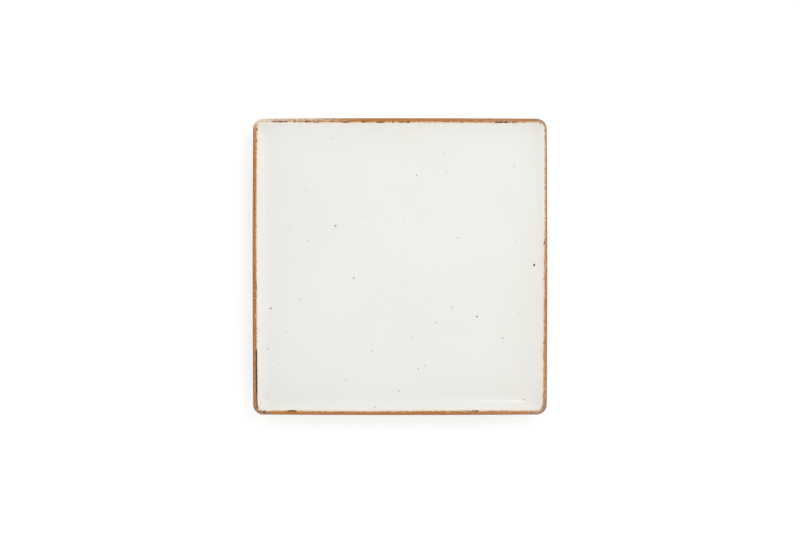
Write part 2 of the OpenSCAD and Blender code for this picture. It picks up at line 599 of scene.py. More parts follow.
def spaced(*stops):
    """Distances from pairs: a mark, and the number of steps from there to the next mark."""
    runs = [
        np.linspace(here, there, count, endpoint=False)
        for (here, count), (there, _) in zip(stops, stops[1:])
    ]
    return np.concatenate([*runs, [stops[-1][0]]])


def coat_rows(name, over, first_edge, last_edge):
    """Rows out over a coat's skin and back along the clay. An edge is the share of its
    thickness that the coat has there, or None where it ends in the plate's middle. The clay
    side takes every second row, so the counts between marks are even, and no mark is missed."""
    under = over[::-2]
    is_ring = first_edge is not None and last_edge is not None
    closing = over[:1] if is_ring else over[:0]
    distance = np.concatenate([over, under, closing])
    on_skin = np.concatenate([np.ones(len(over)), np.zeros(len(under)), np.ones(len(closing))])

    cover = on_skin.copy()
    from_ends = []
    for edge, from_end in ((first_edge, distance - over[0]), (last_edge, over[-1] - distance)):
        if edge is None:
            from_end = np.full(len(distance), FAR_AWAY)
        else:
            cover *= edge + (1 - edge) * smooth(from_end / ROLL)
        from_ends.append(from_end)

    from_first, from_last = from_ends
    return point_mesh(
        name, np.zeros((len(distance), 3)), [],
        travel=distance, cover=cover, from_edge=np.minimum(from_first, from_last),
        first_share=1 - smooth(from_first / REACH), last_share=1 - smooth(from_last / REACH),
    )


def clay_rows(name, over):
    """Rows of the bare body, which follow the clay all the way and take no wander."""
    none = np.zeros(len(over))
    from_bare_edge = np.minimum(abs(over - MARK["bare_out"]), abs(over - MARK["bare_in"]))
    return point_mesh(
        name, np.zeros((len(over), 3)), [],
        travel=over, cover=none, from_edge=from_bare_edge, first_share=none, last_share=none,
    )


# %% [markdown]
# Now each coat gets its marks, with the number of rows from one to the next.

# %% Where the rows lie
well_over = spaced(
    (MARK["well_centre"], 6), (MARK["floor_edge"], 18),
    (MARK["cove_top"], 2), (MARK["seam_in"] - ROLL, 6), (MARK["seam_in"], 0),
)
rim_over = spaced(
    (MARK["seam_in"], 6), (MARK["seam_in"] + ROLL, 20), (MARK["lip_out"], 6),
    (MARK["seam_out"] - ROLL, 6), (MARK["seam_out"], 0),
)
outside_over = spaced(
    (MARK["seam_out"], 6), (MARK["seam_out"] + ROLL, 18), (MARK["heel"], 4),
    (MARK["foot_top_out"], 2), (MARK["bare_out"] - ROLL, 6), (MARK["bare_out"], 0),
)
base_over = spaced(
    (MARK["bare_in"], 6), (MARK["bare_in"] + ROLL, 4), (MARK["foot_top_in"], 12),
    (MARK["base_centre"], 0),
)
clay_over = spaced(
    (MARK["well_centre"], 5), (MARK["floor_edge"], 16), (MARK["cove_top"], 16),
    (MARK["lip_out"], 22), (MARK["heel"], 2), (MARK["foot_top_out"], 3), (MARK["bare_out"], 5),
    (MARK["flat_out"], 8), (MARK["flat_in"], 5), (MARK["bare_in"], 3), (MARK["foot_top_in"], 5),
    (MARK["base_centre"], 0),
)
print("rows over:", [len(x) for x in (well_over, rim_over, outside_over, base_over, clay_over)])

# %% [markdown]
# ## What a kiln and a brush do
# Six effects make every surface of this plate, so each is a shader group, built once, which turns a
# place on the plate into a mask or a height. Colours, roughness and bump are put together in the
# materials. The first two are quiet: clouds of warmer and cooler colour, as a kiln's uneven heat
# leaves them, and the faint orange peel and grain that break up a reflection.

# %% Shader groups: clouds and skin
def shader_group(name, result, formula, **inputs):
    """A shader group that turns a place and the inputs into one number, by a formula."""
    inputs = {"Place": "NodeSocketVector", **with_spaces(inputs)}
    return node_group("ShaderNodeTree", name, formula, inputs, result, "NodeSocketFloat")


def cloud_mask(given):
    """Soft clouds from 0 to 1, of about one size."""
    cloud = noise_at(given["Place"], given["Size"], detail=3.0)
    return step(cloud, given["Low"], given["High"])


def skin_height(given):
    """Height of a fired surface in metres: broad orange peel and a fine grain."""
    peel = noise_at(given["Place"], given["Peel size"]) * given["Peel height"]
    grain = noise_at(given["Place"], given["Grain size"], detail=4.0) * given["Grain height"]
    return peel + grain


clouds_group = shader_group("Kiln clouds", "Cloud", cloud_mask, Size=60 * MM, Low=0.35, High=0.65)
skin_group = shader_group(
    "Fired skin", "Height", skin_height,
    Peel_size=7 * MM, Peel_height=0.01 * MM, Grain_size=0.5 * MM, Grain_height=0.002 * MM,
)

# %% [markdown]
# The next two belong to the edge where the brown meets the glaze: its ragged teeth, and the iron that
# boiled black along it. Both start from a distance, how far a place lies past the brown's edge, and
# let noise shift it. The noise lies in space, so that the two coats that share a seam draw the same
# teeth from both sides.

# %% Shader groups: ragged seam and boiled iron
RAGGED_SHARE = 0.7
INNER_FULL_SHARE, OUTER_FULL_SHARE = 0.7, 0.3
HEAT_SHARE = 0.3
BEAD_LIMITS = (0.66, 0.76)
BURNT_LIMITS = (0.02, 0.12)


def seam_mask(given):
    """1 on the brown side of a ragged edge and 0 in the glaze, with teeth as noise draws them."""
    teeth = (noise_at(given["Place"], given["Tooth"]) - 0.5) * 2 * given["Depth"]
    return step(given["Past edge"] + teeth, 0 - given["Blur"], given["Blur"])


def boiled_mask(given):
    """Iron that boiled black along the brown's edge: a ragged band, broken where it burnt less."""
    burnt = given["Burnt"]
    bead = noise_at(given["Place"], given["Bead"])
    ragged = noise_at(given["Place"], given["Bead"] * RAGGED_SHARE)
    past = given["Past edge"] + (ragged - 0.5) * 2 * given["Ragged"]
    inner = given["Reach in"] * -1
    outer = given["Reach out"]
    band = step(past, inner, inner * INNER_FULL_SHARE) * step(past, outer, outer * OUTER_FULL_SHARE)
    beads = step(bead + burnt * HEAT_SHARE, *BEAD_LIMITS)
    return beads * band * step(burnt, *BURNT_LIMITS)


seam_group = shader_group(
    "Ragged seam", "Mask", seam_mask,
    Past_edge=0.0, Tooth=1.8 * MM, Depth=3 * MM, Blur=0.15 * MM,
)
boiled_group = shader_group(
    "Boiled iron", "Mask", boiled_mask,
    Past_edge=0.0, Burnt=0.0, Bead=1.1 * MM, Ragged=0.9 * MM, Reach_in=1.35 * MM, Reach_out=0.9 * MM,
)

# %% [markdown]
# The last two are marks of iron and of the brush: small round flecks, for which cell noise gives each
# cell its middle and a lot to draw, and streaks, which are plain noise squeezed across the rim.

# %% Shader groups: flecks and streaks
FLECK_HEART_SHARE = 0.4


def fleck_mask(given):
    """Small round flecks, one at most in each cell, and none in most cells."""
    feeds = {"Vector": given["Place"], "Scale": 1.0 / given["Cell"]}
    distance = add(given["Place"].tree, "ShaderNodeTexVoronoi", feeds, "Distance")
    lot = split(distance.beside("Color"))[0]
    radius = given["Radius share"]
    fleck = step(distance, radius, radius * FLECK_HEART_SHARE)
    return fleck * lot.math("LESS_THAN", given["Amount"])


def streak_mask(given):
    """Brush streaks along the rim: long in the outline's way, thin in the section's."""
    x, y, _ = split(given["Place"])
    squeezed = joined(x, y, given["Travel"] * given["Thinness"])
    return step(noise_at(squeezed, given["Length"], detail=3.0), given["Low"], given["High"])


flecks_group = shader_group(
    "Iron flecks", "Mask", fleck_mask, Cell=4 * MM, Radius_share=0.09, Amount=0.2,
)
streaks_group = shader_group(
    "Brush streaks", "Streak", streak_mask,
    Travel=0.0, Length=30 * MM, Thinness=14.0, Low=0.4, High=0.62,
)

# %% [markdown]
# ## Finishes
# Colours are written as a screen shows them, from 0 to 255, and turned into the linear numbers that
# light works with. A material starts with a Principled shader, the plate's own coordinates, and the
# attributes that the coat's tree left on it.

# %% Starting a material
def srgb(red, green, blue):
    """A colour from 0 to 255, as a screen shows it, in linear numbers."""
    shares = [channel / 255 for channel in (red, green, blue)]
    linear = [s / 12.92 if s <= 0.04045 else ((s + 0.055) / 1.055) ** 2.4 for s in shares]
    return (*linear, 1.0)


class Finish:
    """A material with its shader, its coordinates and the attributes of its coat."""

    def __init__(self, name):
        self.material = bpy.data.materials.new(name)
        self.material.use_nodes = True
        self.tree = self.material.node_tree
        self.shader = self.tree.nodes["Principled BSDF"]
        self.place = add(self.tree, "ShaderNodeTexCoord", out="Object")

    def attribute(self, name):
        """A number that the mesh carries."""
        return add(self.tree, "ShaderNodeAttribute", out="Fac", attribute_name=name)

    def effect(self, group, **feeds):
        """One of the shader groups at this finish's coordinates."""
        feeds = {"Place": self.place, **with_spaces(feeds)}
        return add(self.tree, "ShaderNodeGroup", feeds, node_tree=group)

    def set(self, height=None, **inputs):
        """Feeds the shader's inputs, and its normal from a height in metres."""
        for label, value in with_spaces(inputs).items():
            feed(self.shader.inputs[label], value)
        if height is not None:
            feeds = {"Strength": 1.0, "Distance": 1.0, "Height": height}
            feed(self.shader.inputs["Normal"], add(self.tree, "ShaderNodeBump", feeds))
        print("finish", self.material.name, "has", len(self.tree.nodes), "nodes")
        return self.material


# %% [markdown]
# The glaze is an off-white gloss. Where it is thick it is a cool white, and where it thins out
# towards the oxide it turns to cream and then to peach, because the clay and the iron show through.
# Brown teeth of the oxide reach into it, and at a few places the iron has boiled black. A painted
# attribute, the fringe, says how far from the seam the brown stops, so the stain is measured from
# there, on both sides of the seam. The three glazes are one recipe from one bucket, so one function
# makes them, but the outside and the base are glazed thinner and warmer.

# %% Glaze colours and the seam's marks
BURNT_BROWN = srgb(76, 48, 24)
BURNT_BLACK = srgb(20, 10, 4)
BLACK_HEAT = (0.75, 1.05)
GLAZE_COOL = srgb(240, 239, 234)
GLAZE_WARM = srgb(238, 236, 229)
GLAZE_THIN = srgb(243, 229, 208)
FLECK_BROWN = srgb(128, 104, 80)
RIM_BROWN = srgb(167, 103, 48)
RIM_FADED = srgb(200, 158, 127)
RIM_PEACH = srgb(233, 201, 175)
STAIN_WIDTH = 7.5 * MM
LEAST_STAIN = 2 * MM
CREAM_LEAST, PEACH_LEAST = 0.6, 0.8
CREAM_END = -1.0 * MM
PEACH_LIMITS = (-1.6 * MM, -0.2 * MM)
TAN_LIMITS = (-0.8 * MM, 0.1 * MM)
TAN_SHARE = 0.6


def seam_marks(finish, past_seam):
    """How far past the brown's edge a place lies, the edge's teeth, its heat and what burnt."""
    past_edge = past_seam - finish.attribute("fringe")
    teeth = finish.effect(seam_group, Past_edge=past_edge)
    heat = finish.attribute("burnt")
    burnt = finish.effect(boiled_group, Past_edge=past_edge, Burnt=heat)
    return past_edge, teeth, heat, burnt


def stained(finish, colour, past_edge, width):
    """A glaze's colour with the iron's stain: cream for the width given, then peach, then tan."""
    drift = finish.effect(clouds_group, Size=5 * MM, Low=0.3, High=0.7)
    width = (width - finish.attribute("fringe") * 2).math("MAXIMUM", LEAST_STAIN)
    cream = step(past_edge, 0 - width, CREAM_END) * at_least(CREAM_LEAST, drift)
    peach = step(past_edge, *PEACH_LIMITS) * at_least(PEACH_LEAST, drift)
    tan = step(past_edge, *TAN_LIMITS) * TAN_SHARE
    for stain, share in ((GLAZE_THIN, cream), (RIM_PEACH, peach), (RIM_FADED, tan)):
        colour = laid_over(colour, stain, share)
    return colour


def burnt_on(colour, heat, mask):
    """Boiled iron laid over a colour: dark brown, and black where it burnt most."""
    boiled = laid_over(BURNT_BROWN, BURNT_BLACK, step(heat, *BLACK_HEAT))
    return laid_over(colour, boiled, mask)


# %% Three glazes from one recipe
CLOUD_SHARE, FLECK_SHARE, TEETH_SHARE = 0.6, 0.55, 0.9
GLAZE_ROUGHNESS, CLOUD_ROUGHNESS, CRUST_ROUGHNESS = 0.11, 0.05, 0.4


def glaze(name, stain_width, fleck_amount, warmth):
    """Gloss glaze that turns to cream at its seam, with brown teeth, flecks and burnt spots."""
    finish = Finish(name)
    past_edge, teeth, heat, burnt = seam_marks(finish, finish.attribute("from_edge") * -1)
    cloud = finish.effect(clouds_group, Size=85 * MM) * CLOUD_SHARE + warmth
    flecks = finish.effect(flecks_group, Cell=4.5 * MM, Radius_share=0.055, Amount=fleck_amount)

    colour = laid_over(GLAZE_COOL, GLAZE_WARM, cloud)
    colour = stained(finish, colour, past_edge, stain_width)
    colour = laid_over(colour, FLECK_BROWN, flecks * FLECK_SHARE)
    colour = laid_over(colour, RIM_BROWN, teeth * TEETH_SHARE)
    colour = burnt_on(colour, heat, burnt)
    height = finish.effect(skin_group, Peel_size=11 * MM, Peel_height=0.012 * MM)
    dull = finish.effect(clouds_group, Size=30 * MM) * CLOUD_ROUGHNESS
    roughness = GLAZE_ROUGHNESS + dull + burnt * CRUST_ROUGHNESS
    return finish.set(height, Base_Color=colour, Roughness=roughness, IOR=1.5)


well_finish = glaze("cream glaze of the well", STAIN_WIDTH, fleck_amount=0.08, warmth=0.0)
outside_finish = glaze("cream glaze outside", 3 * MM, fleck_amount=0.2, warmth=0.25)
base_finish = glaze("cream glaze of the base", 2 * MM, fleck_amount=0.16, warmth=0.35)

# %% [markdown]
# The rim is iron oxide, brushed on and partly wiped off. It is a satin brown that the brush leaves in
# streaks. A painted attribute, worn, says how much was wiped off. From 0 to 1 the golden brown turns
# tan, then a faded pink, then pale, and above 1 it is worn through. In the fringe, glaze covers it
# and only its stain is left. Another attribute lays a grey over it: painted shade on the band's outer
# side, where the wall turns down away from the light, and a grey near the corners.

# %% Iron oxide
RIM_GOLD = srgb(188, 124, 60)
RIM_TAN = srgb(183, 134, 95)
RIM_PALE = srgb(222, 193, 170)
RIM_BARE = srgb(226, 212, 198)
# Grey of painted shade, laid where the band turns down under the lip, and near the corners
RIM_ASH_AND_SHADE = srgb(138, 116, 102)
WORN_COLOURS = [
    (RIM_TAN, 0.1, 0.45), (RIM_FADED, 0.45, 0.75), (RIM_PALE, 0.75, 1.05), (RIM_BARE, 1.1, 1.4),
]
CLOUD_BROWN, STREAK_BROWN, GRIT_SHARE = 0.5, 0.4, 0.4
STREAK_WEAR, MOTTLE_WEAR, SAND_WEAR, EDGE_WEAR = 0.25, 0.5, 0.45, 0.2
MOTTLE_MIDDLE = 0.45
EDGE_WEAR_LIMITS = (0.9 * MM, 0.1 * MM)
STAIN_ROUGHNESS, OXIDE_ROUGHNESS, STREAK_ROUGHNESS, BEAD_ROUGHNESS = 0.16, 0.24, 0.12, 0.2


def rubbed(finish, past_edge, streak):
    """How worn a place is: as painted, more or less by chance, and a little more at the edge."""
    mottle = finish.effect(clouds_group, Size=2 * MM, Low=0.38, High=0.65)
    sand = finish.effect(clouds_group, Size=0.9 * MM, Low=0.3, High=0.7)
    chance = (streak - 0.5) * STREAK_WEAR + (mottle - MOTTLE_MIDDLE) * MOTTLE_WEAR
    chance = chance + (sand - 0.5) * SAND_WEAR
    return finish.attribute("worn") + chance + step(past_edge, *EDGE_WEAR_LIMITS) * EDGE_WEAR


def iron_oxide(name):
    """Brushed oxide: streaked brown, tan where worn, peach at its fringe, black where burnt."""
    finish = Finish(name)
    past_edge, core, heat, burnt = seam_marks(finish, finish.attribute("from_edge"))
    cloud = finish.effect(clouds_group, Size=22 * MM)
    streak = finish.effect(streaks_group, Travel=finish.attribute("travel"))
    flecks = finish.effect(flecks_group, Cell=1.6 * MM, Radius_share=0.16, Amount=0.3)
    wear = rubbed(finish, past_edge, streak)

    brown = laid_over(RIM_GOLD, RIM_BROWN, cloud * CLOUD_BROWN + streak * STREAK_BROWN)
    for worn_colour, start, end in WORN_COLOURS:
        brown = laid_over(brown, worn_colour, step(wear, start, end))
    brown = laid_over(brown, BURNT_BROWN, flecks * GRIT_SHARE)
    # Painted shade: grey over the band's outer side where it turns down, and near the corners
    brown = laid_over(brown, RIM_ASH_AND_SHADE, finish.attribute("ash"))
    glazed = stained(finish, laid_over(GLAZE_COOL, GLAZE_WARM, cloud), past_edge, STAIN_WIDTH)
    colour = burnt_on(laid_over(glazed, brown, core), heat, burnt)
    height = finish.effect(
        skin_group, Peel_size=2.5 * MM, Peel_height=0.02 * MM, Grain_height=0.008 * MM
    )
    dull = core * (OXIDE_ROUGHNESS + streak * STREAK_ROUGHNESS)
    roughness = STAIN_ROUGHNESS + dull + burnt * BEAD_ROUGHNESS
    return finish.set(height, Base_Color=colour, Roughness=roughness, IOR=1.24)


rim_finish = iron_oxide("brushed brown oxide")

# %% [markdown]
# Only the foot ring shows bare clay. It is a buff stoneware, rubbed flat after firing so that it
# doesn't scratch a table, with dark grains of iron and a toasted line where the glaze stops.

# %% Bare clay
CLAY_BUFF = srgb(214, 188, 152)
CLAY_DARK = srgb(186, 153, 113)
CLAY_TOASTED = srgb(158, 104, 62)
TOAST_WIDTH = 0.8 * MM
CLOUD_DARK, SAND_DARK, TOAST_SHARE, IRON_SHARE = 0.5, 0.35, 0.7, 0.7
CLAY_ROUGHNESS, SAND_GLOSS = 0.85, 0.1


def bare_clay(name):
    """Matt fired clay: cloudy buff, iron grains and a toasted edge beside the glaze."""
    finish = Finish(name)
    cloud = finish.effect(clouds_group, Size=14 * MM)
    sand = finish.effect(clouds_group, Size=0.7 * MM, Low=0.3, High=0.7)
    flecks = finish.effect(flecks_group, Cell=1.8 * MM, Radius_share=0.14, Amount=0.35)
    past_toast = finish.attribute("from_edge") - TOAST_WIDTH
    untoasted = finish.effect(seam_group, Past_edge=past_toast, Depth=1.2 * MM, Blur=0.4 * MM)

    colour = laid_over(CLAY_BUFF, CLAY_DARK, cloud * CLOUD_DARK + sand * SAND_DARK)
    colour = laid_over(colour, CLAY_TOASTED, (1 - untoasted) * TOAST_SHARE)
    colour = laid_over(colour, BURNT_BROWN, flecks * IRON_SHARE)
    height = finish.effect(
        skin_group, Peel_size=3 * MM, Peel_height=0.03 * MM, Grain_height=0.03 * MM
    )
    roughness = CLAY_ROUGHNESS - sand * SAND_GLOSS
    return finish.set(height, Base_Color=colour, Roughness=roughness, IOR=1.5)


clay_finish = bare_clay("bare fired clay")

# %% [markdown]
# Iron also shows as single grains. A grain is darkest in its heart and melts into the glaze round it,
# so its finish fades from brown to the glaze's own white. Along the rim it has boiled up into beads,
# which stay dark to their edge.

# %% Iron grains
GRAIN_HEART = srgb(48, 34, 24)
HEART_RAGGED = 0.3
HALO_ROUGHNESS, IRON_ROUGHNESS = 0.2, 0.15


def iron_grain(name, colour, halo, melt, ior):
    """Iron in a glaze. Melt is how far in from its edge the halo's colour reaches."""
    finish = Finish(name)
    ragged = (finish.effect(clouds_group, Size=0.8 * MM) - 0.5) * HEART_RAGGED
    dark = step(finish.attribute("heart") + ragged, 0.0, melt) * finish.attribute("strength")
    colour = laid_over(halo, colour, dark)
    height = finish.effect(skin_group, Peel_size=1.5 * MM, Peel_height=0.01 * MM)
    roughness = HALO_ROUGHNESS + dark * IRON_ROUGHNESS
    return finish.set(height, Base_Color=colour, Roughness=roughness, IOR=ior)


speck_finish = iron_grain(
    "iron speck in the glaze", GRAIN_HEART, GLAZE_COOL, melt=0.6, ior=1.45
)
bead_finish = iron_grain("boiled iron bead", BURNT_BLACK, BURNT_BROWN, melt=0.4, ior=1.2)

# %% [markdown]
# ## Growing the five shells
# A tree runs as a modifier on a mesh of rows. Its inputs are set by each socket's identifier, before
# the object is first evaluated, and the result is taken off as a plain mesh. Edges sharper than a
# limit stay crisp, such as a coat's cut edge, and everything else is shaded round.

# %% Run a tree on a mesh
CRISP_ANGLE = math.radians(40)


def triangle_count(mesh):
    """Triangles of a mesh, whose faces may have more corners."""
    return len(mesh.loops) - 2 * len(mesh.polygons)


def grow(name, mesh, tree, settings):
    """Runs a geometry tree on a mesh and keeps the result as a plain object."""
    piece = in_scene(name, mesh)
    modifier = piece.modifiers.new("grown", "NODES")
    modifier.node_group = tree
    for item in tree.interface.items_tree:
        if item.in_out == "INPUT" and item.name in settings:
            modifier[item.identifier] = settings[item.name]
    graph = bpy.context.evaluated_depsgraph_get()
    grown = bpy.data.meshes.new_from_object(
        piece.evaluated_get(graph), preserve_all_data_layers=True, depsgraph=graph
    )
    piece.modifiers.clear()
    piece.data = grown
    grown.name = name
    grown.set_sharp_from_angle(angle=CRISP_ANGLE)
    print(name, "has", len(grown.vertices), "points and", triangle_count(grown), "triangles")
    return piece


# %% [markdown]
# Each shell gets its rows, its finish and the seeds of its two seams. The clay takes coarser columns,
# because only its foot shows.

# %% Grow the clay and the four coats
SEAM_IN_SEED, SEAM_OUT_SEED, FOOT_OUT_SEED, FOOT_IN_SEED = 1.0, 2.0, 3.0, 4.0


def sweep(name, rows, finish, **settings):
    """One shell of the plate."""
    settings = {"Section": section, "Finish": finish, **with_spaces(settings)}
    return grow(name, rows, coat_tree, settings)


fired_clay = sweep(
    "fired_clay", clay_rows("clay_rows", clay_over), clay_finish,
    Corner_columns=14, Side_columns=150,
)
well_coat = sweep(
    "well_coat", coat_rows("well_rows", well_over, None, SEAM_SHARE), well_finish,
    Last_seed=SEAM_IN_SEED,
)
rim_coat = sweep(
    "rim_coat", coat_rows("rim_rows", rim_over, SEAM_SHARE, SEAM_SHARE), rim_finish,
    First_seed=SEAM_IN_SEED, Last_seed=SEAM_OUT_SEED,
)
outside_coat = sweep(
    "outside_coat", coat_rows("outside_rows", outside_over, SEAM_SHARE, BARE_SHARE),
    outside_finish, First_seed=SEAM_OUT_SEED, Last_seed=FOOT_OUT_SEED,
)
base_coat = sweep(
    "base_coat", coat_rows("base_rows", base_over, BARE_SHARE, None), base_finish,
    First_seed=FOOT_IN_SEED,
)
shells = [fired_clay, well_coat, rim_coat, outside_coat, base_coat]


def volume(mesh):
    """Volume inside a closed mesh, in cubic metres. It is negative if the faces point inwards."""
    mesh.calc_loop_triangles()
    corners = np.zeros(len(mesh.loop_triangles) * 3, np.int32)
    mesh.loop_triangles.foreach_get("vertices", corners)
    places = np.zeros(len(mesh.vertices) * 3, np.float32)
    mesh.vertices.foreach_get("co", places)
    a, b, c = places.reshape(-1, 3).astype(float)[corners.reshape(-1, 3)].transpose(1, 0, 2)
    return float(np.einsum("ij,ij->i", a, np.cross(b, c)).sum() / 6)


for shell in shells:
    print(shell.name, f"holds {volume(shell.data) / MM ** 3:.0f} mm3")

# %% [markdown]
# ## Painting where the seam burnt and the rim is worn
# Chance marks can't come from a formula, so they are given as short lists. For each side of the
# plate, the first says where the seam burnt, from where to where in millimetres from the side's
# middle, and how strongly. The second says the same of the places near the corners that came out
# ashen. The third walks each side in stops. A stop says where it lies, how worn the band is there on
# its inner and on its outer half, and how many millimetres wide its peach fringe is. Between two
# stops the numbers run evenly. All of it is painted on the points of the coats.

# %% Burnt stretches and wear
BURNT_STRETCHES = {
    "far": [
        (-116.5, -103, 0.7), (-102, -100, 0.5), (-98, -95, 0.75), (-95, -88, 0.4),
        (-87.5, -80.5, 0.8), (-79, -74.5, 0.8), (-66, -64, 0.6), (-52, -46.5, 0.85),
        (-35, -31, 0.7), (-22, -14, 0.9), (-7.5, -5, 0.85), (-2.5, 3.5, 0.6), (5, 9.5, 0.95),
        (22, 29, 0.3), (41.5, 43.5, 0.8), (53.5, 58, 0.6), (80, 84, 0.5), (86.5, 99.5, 1.0),
        (102, 109, 0.65), (111, 115, 0.7), (124, 131, 0.35),
    ],
    "right": [(20, 23, 0.8), (-72, -68, 0.4), (-87, -78, 0.5), (-131, -127.5, 0.5)],
    "near": [
        (-128, -120, 0.9), (-118, -114, 0.4), (-102.5, -95, 1.0), (-22, 66, 0.2), (66, 72, 0.9),
        (84, 88, 0.35), (92, 99, 0.5),
    ],
    "left": [
        (124, 126.5, 1.0), (114.5, 116.5, 0.85), (58, 67, 0.15), (-28, -12, 0.45),
        (-71, -55, 0.45), (-117, -76, 1.12), (-130, -117, 0.9),
    ],
}
ASHEN_STRETCHES = {
    "far": [(119, 137, 0.3)],
    "right": [(124, 138, 0.35), (-138, -121, 0.45)],
    "near": [(119, 137, 0.4), (-137, -119, 0.45)],
    "left": [(-138, -126, 0.4)],
}
WEAR_STOPS = {
    "far": [
        (-135, 1.3, 1.3, 1.2), (-129, 1.3, 1.3, 2.2), (-121, 1.1, 1.2, 2.0), (-112, 0.4, 1.05, 1.7),
        (-98, 0.25, 1.0, 1.8), (-80, 0.15, 0.85, 1.2), (-60, 0.1, 0.55, 0.8), (-40, 0.05, 0.25, 0.8),
        (-20, 0.0, 0.1, 0.8), (0, 0.0, 0.1, 0.7), (20, 0.15, 0.15, 0.9), (60, 0.15, 0.15, 0.8),
        (85, 0.3, 0.3, 0.7), (103, 0.55, 0.3, 0.9), (115, 0.9, 0.2, 1.0), (125, 0.95, 0.45, 1.2),
        (131, 0.9, 0.75, 1.2), (135, 0.9, 0.8, 1.4),
    ],
    "right": [
        (-136, 0.8, 0.6, 0.8), (-128, 0.6, 0.4, 0.9), (-119, 0.45, 0.4, 0.9), (-101, 0.5, 0.4, 1.2),
        (-64, 0.4, 0.3, 1.4), (-27, 0.5, 0.25, 1.7), (9, 0.55, 0.3, 1.9), (28, 0.55, 0.3, 2.2),
        (46, 0.6, 0.35, 2.6), (119, 0.8, 0.3, 2.7), (130, 0.9, 0.5, 2.3), (136, 0.9, 0.8, 1.4),
    ],
    "near": [
        (-135, 0.4, 0.4, 1.2), (-129, 0.4, 0.4, 1.8), (-119, 0.3, 0.25, 1.8),
        (-116.5, 0.25, 0.2, 0.8), (-99, 0.3, 0.2, 0.9), (-62, 0.35, 0.15, 1.2),
        (-25, 0.3, 0.1, 1.2), (-7, 0.3, 0.1, 0.9), (11, 0.3, 0.1, 0.8), (66, 0.3, 0.1, 0.7),
        (103, 0.35, 0.25, 1.0), (116, 0.55, 0.4, 0.8), (122, 0.75, 0.6, 0.8), (135, 0.9, 0.6, 0.8),
    ],
    "left": [
        (-136, 0.45, 0.4, 0.9), (-119, 0.45, 0.4, 1.0), (-101, 0.35, 0.3, 1.1),
        (-82, 0.2, 0.15, 1.1), (-64, 0.1, 0.0, 1.1), (-27, 0.05, 0.0, 1.0), (-9, 0.12, 0.0, 1.2),
        (28, 0.2, 0.0, 1.3), (64, 0.25, 0.05, 1.2), (101, 0.25, 0.05, 1.3), (119, 0.3, 0.2, 1.1),
        (126, 0.4, 0.4, 0.9), (131, 0.9, 0.9, 0.8), (136, 1.2, 1.2, 1.0),
    ],
}
print("stops of wear:", {side: len(stops) for side, stops in WEAR_STOPS.items()})

# %% [markdown]
# A point belongs to the side that it lies nearest to, and its place along that side looks the numbers
# up. How far it lies across the band, from the inner to the outer seam, then mixes the inner and the
# outer wear, and tells where the band turns down, which gets a grey of painted shade. Beads sit only
# along the line that burnt.

# %% Paint them on the coats
# For each side, the axis that it faces along, and which way
SIDE_AXES = {"far": (1, 1), "near": (1, -1), "left": (0, -1), "right": (0, 1)}
OUTER_FRINGE = 0.3 * MM
SOFT_END = 0.8 * MM
ASHEN_END = 4 * MM
BEADS_AT = -0.4 * MM
BEAD_REACH = 1.2 * MM
CREST = 0.22
CREST_BLEND = 0.16
TURNS_DOWN = 0.45
TURN_BLEND = 0.14
# How strongly painted shade greys the band where it turns down
TURN_SHADE = 0.7


def read(mesh, name):
    """A mesh's named numbers as an array."""
    values = np.zeros(len(mesh.vertices), np.float32)
    mesh.attributes[name].data.foreach_get("value", values)
    return values


def by_side(x, y):
    """For each side of the plate: its name, which places belong to it, and how far along they lie."""
    places = np.stack([x, y])
    nearness = places / np.array([[half_w], [half_d]])
    for side, (across, way) in SIDE_AXES.items():
        is_here = (way * nearness[across] > 0) & (abs(nearness[across]) >= abs(nearness[1 - across]))
        yield side, is_here, places[1 - across]


def marks_at(stretches, soft_end, x, y):
    """How strongly the stretches of a list mark each place."""
    found = np.zeros(len(x))
    for side, is_here, along in by_side(x, y):
        for start, end, strength in stretches[side]:
            inside = np.minimum(along - start * MM, end * MM - along)
            found = np.maximum(found, is_here * strength * smooth(inside / soft_end + 0.5))
    return found


def wear_at(x, y):
    """How worn the band's inner and outer halves are beside each place, and its fringe's width."""
    found = np.zeros((3, len(x)))
    for side, is_here, along in by_side(x, y):
        stops = np.array(WEAR_STOPS[side]).T
        for row, values in enumerate(stops[1:]):
            found[row, is_here] = np.interp(along[is_here], stops[0] * MM, values)
    return found[0], found[1], found[2] * MM


def paint(coat):
    """Paints burnt, beads, worn, the grey of painted shade where the band turns down (with a grey
    near the corners) and fringe on a coat's points.
    """
    mesh = coat.data
    places = np.zeros(len(mesh.vertices) * 3, np.float32)
    mesh.vertices.foreach_get("co", places)
    x, y, _ = places.reshape(-1, 3).T
    travel = read(mesh, "travel")
    across = (travel - MARK["seam_in"]) / (MARK["seam_out"] - MARK["seam_in"])
    is_inner_half = across < 0.5
    inner, outer, fringe = wear_at(x, y)
    burnt = marks_at(BURNT_STRETCHES, SOFT_END, x, y) * (abs(travel - MARK["seam_in"]) < REACH)
    off_line = abs(read(mesh, "from_edge") - fringe - BEADS_AT)
    # Painted shade: the band's outer side, where it turns down away from the light, is greyed, less
    # where it is worn through
    turned_down_shade = TURN_SHADE * smooth((across - TURNS_DOWN) / TURN_BLEND + 0.5) * (1 - outer ** 3)
    painted = {
        "burnt": burnt,
        "beads": burnt ** 2 * smooth(2 - 2 * off_line / BEAD_REACH),
        "worn": inner + (outer - inner) * smooth((across - CREST) / CREST_BLEND + 0.5),
        # Painted shade where the band turns down, with the grey near the corners
        "ash": np.maximum(turned_down_shade, marks_at(ASHEN_STRETCHES, ASHEN_END, x, y)),
        "fringe": np.where(is_inner_half, fringe, OUTER_FRINGE),
    }
    for name, values in painted.items():
        made = mesh.attributes.new(name, "FLOAT", "POINT")
        made.data.foreach_set("value", values.astype(np.float32))
    print(coat.name, "painted:", {name: round(float(v.mean()), 4) for name, v in painted.items()})


for coat in (well_coat, rim_coat, outside_coat, base_coat):
    paint(coat)

